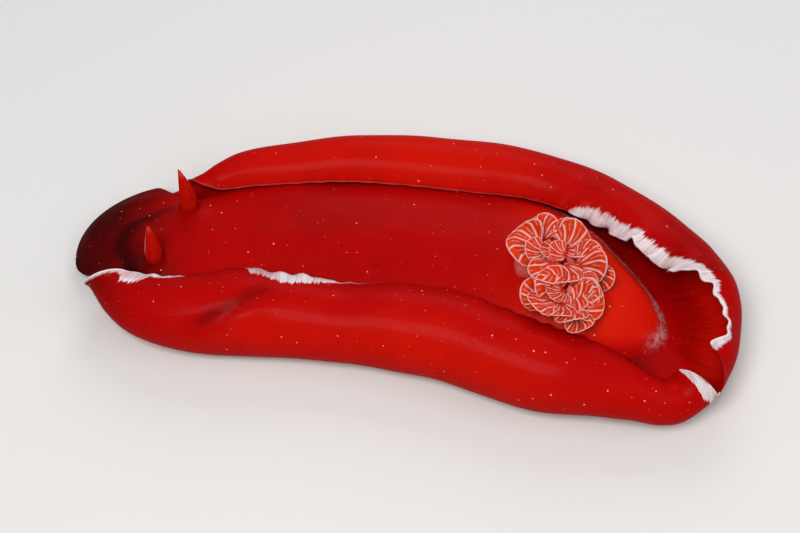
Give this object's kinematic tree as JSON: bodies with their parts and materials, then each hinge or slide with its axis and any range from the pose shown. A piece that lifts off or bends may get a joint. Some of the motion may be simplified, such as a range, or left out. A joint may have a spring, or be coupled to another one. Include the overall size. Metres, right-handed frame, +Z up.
{
  "type": "sea slug figure",
  "caption": "Still life-size Spanish dancer sea slug crawling with its broad mantle edges rolled up over its back, a ring of ruffled gills behind and a pair of horn-like feelers in front.",
  "frame": {"origin": "middle of the bounding box at floor level, on the plane of the foot's sole", "axes": "+X towards the tail, head at -X; +Y to the animal's right side; +Z up, away from the floor"},
  "size_m": [0.276, 0.1234, 0.0405],
  "materials": {
    "foot_skin": "satin, wet soft skin",
    "body_skin": "satin, wet soft skin",
    "mantle_skin": "satin, wet soft skin",
    "gill_skin": "satin, red-orange with white rims and white ribs",
    "rhinophore_skin": "satin, wet soft skin",
    "sheath_skin": "satin, wet soft skin",
    "oral_skin": "satin, wet soft skin",
    "papilla_skin": "satin, wet soft skin"
  },
  "bodies": {
    "root": {"foot": "foot_skin", "head": "body_skin", "body_front": "body_skin", "body_middle": "body_skin", "body_rear": "body_skin", "mantle_front": "mantle_skin", "mantle_left_front": "mantle_skin", "mantle_left_middle": "mantle_skin", "mantle_left_rear": "mantle_skin", "mantle_tail": "mantle_skin", "mantle_right_rear": "mantle_skin", "mantle_right_middle": "mantle_skin", "mantle_right_front": "mantle_skin", "rhinophore_left": "rhinophore_skin", "rhinophore_right": "rhinophore_skin", "rhinophore_sheath_left": "sheath_skin", "rhinophore_sheath_right": "sheath_skin", "oral_tentacle_left": "oral_skin", "oral_tentacle_right": "oral_skin", "gill_1": "gill_skin", "gill_2": "gill_skin", "gill_3": "gill_skin", "gill_4": "gill_skin", "gill_5": "gill_skin", "gill_6": "gill_skin", "anal_papilla": "papilla_skin"}
  },
  "joints": []
}
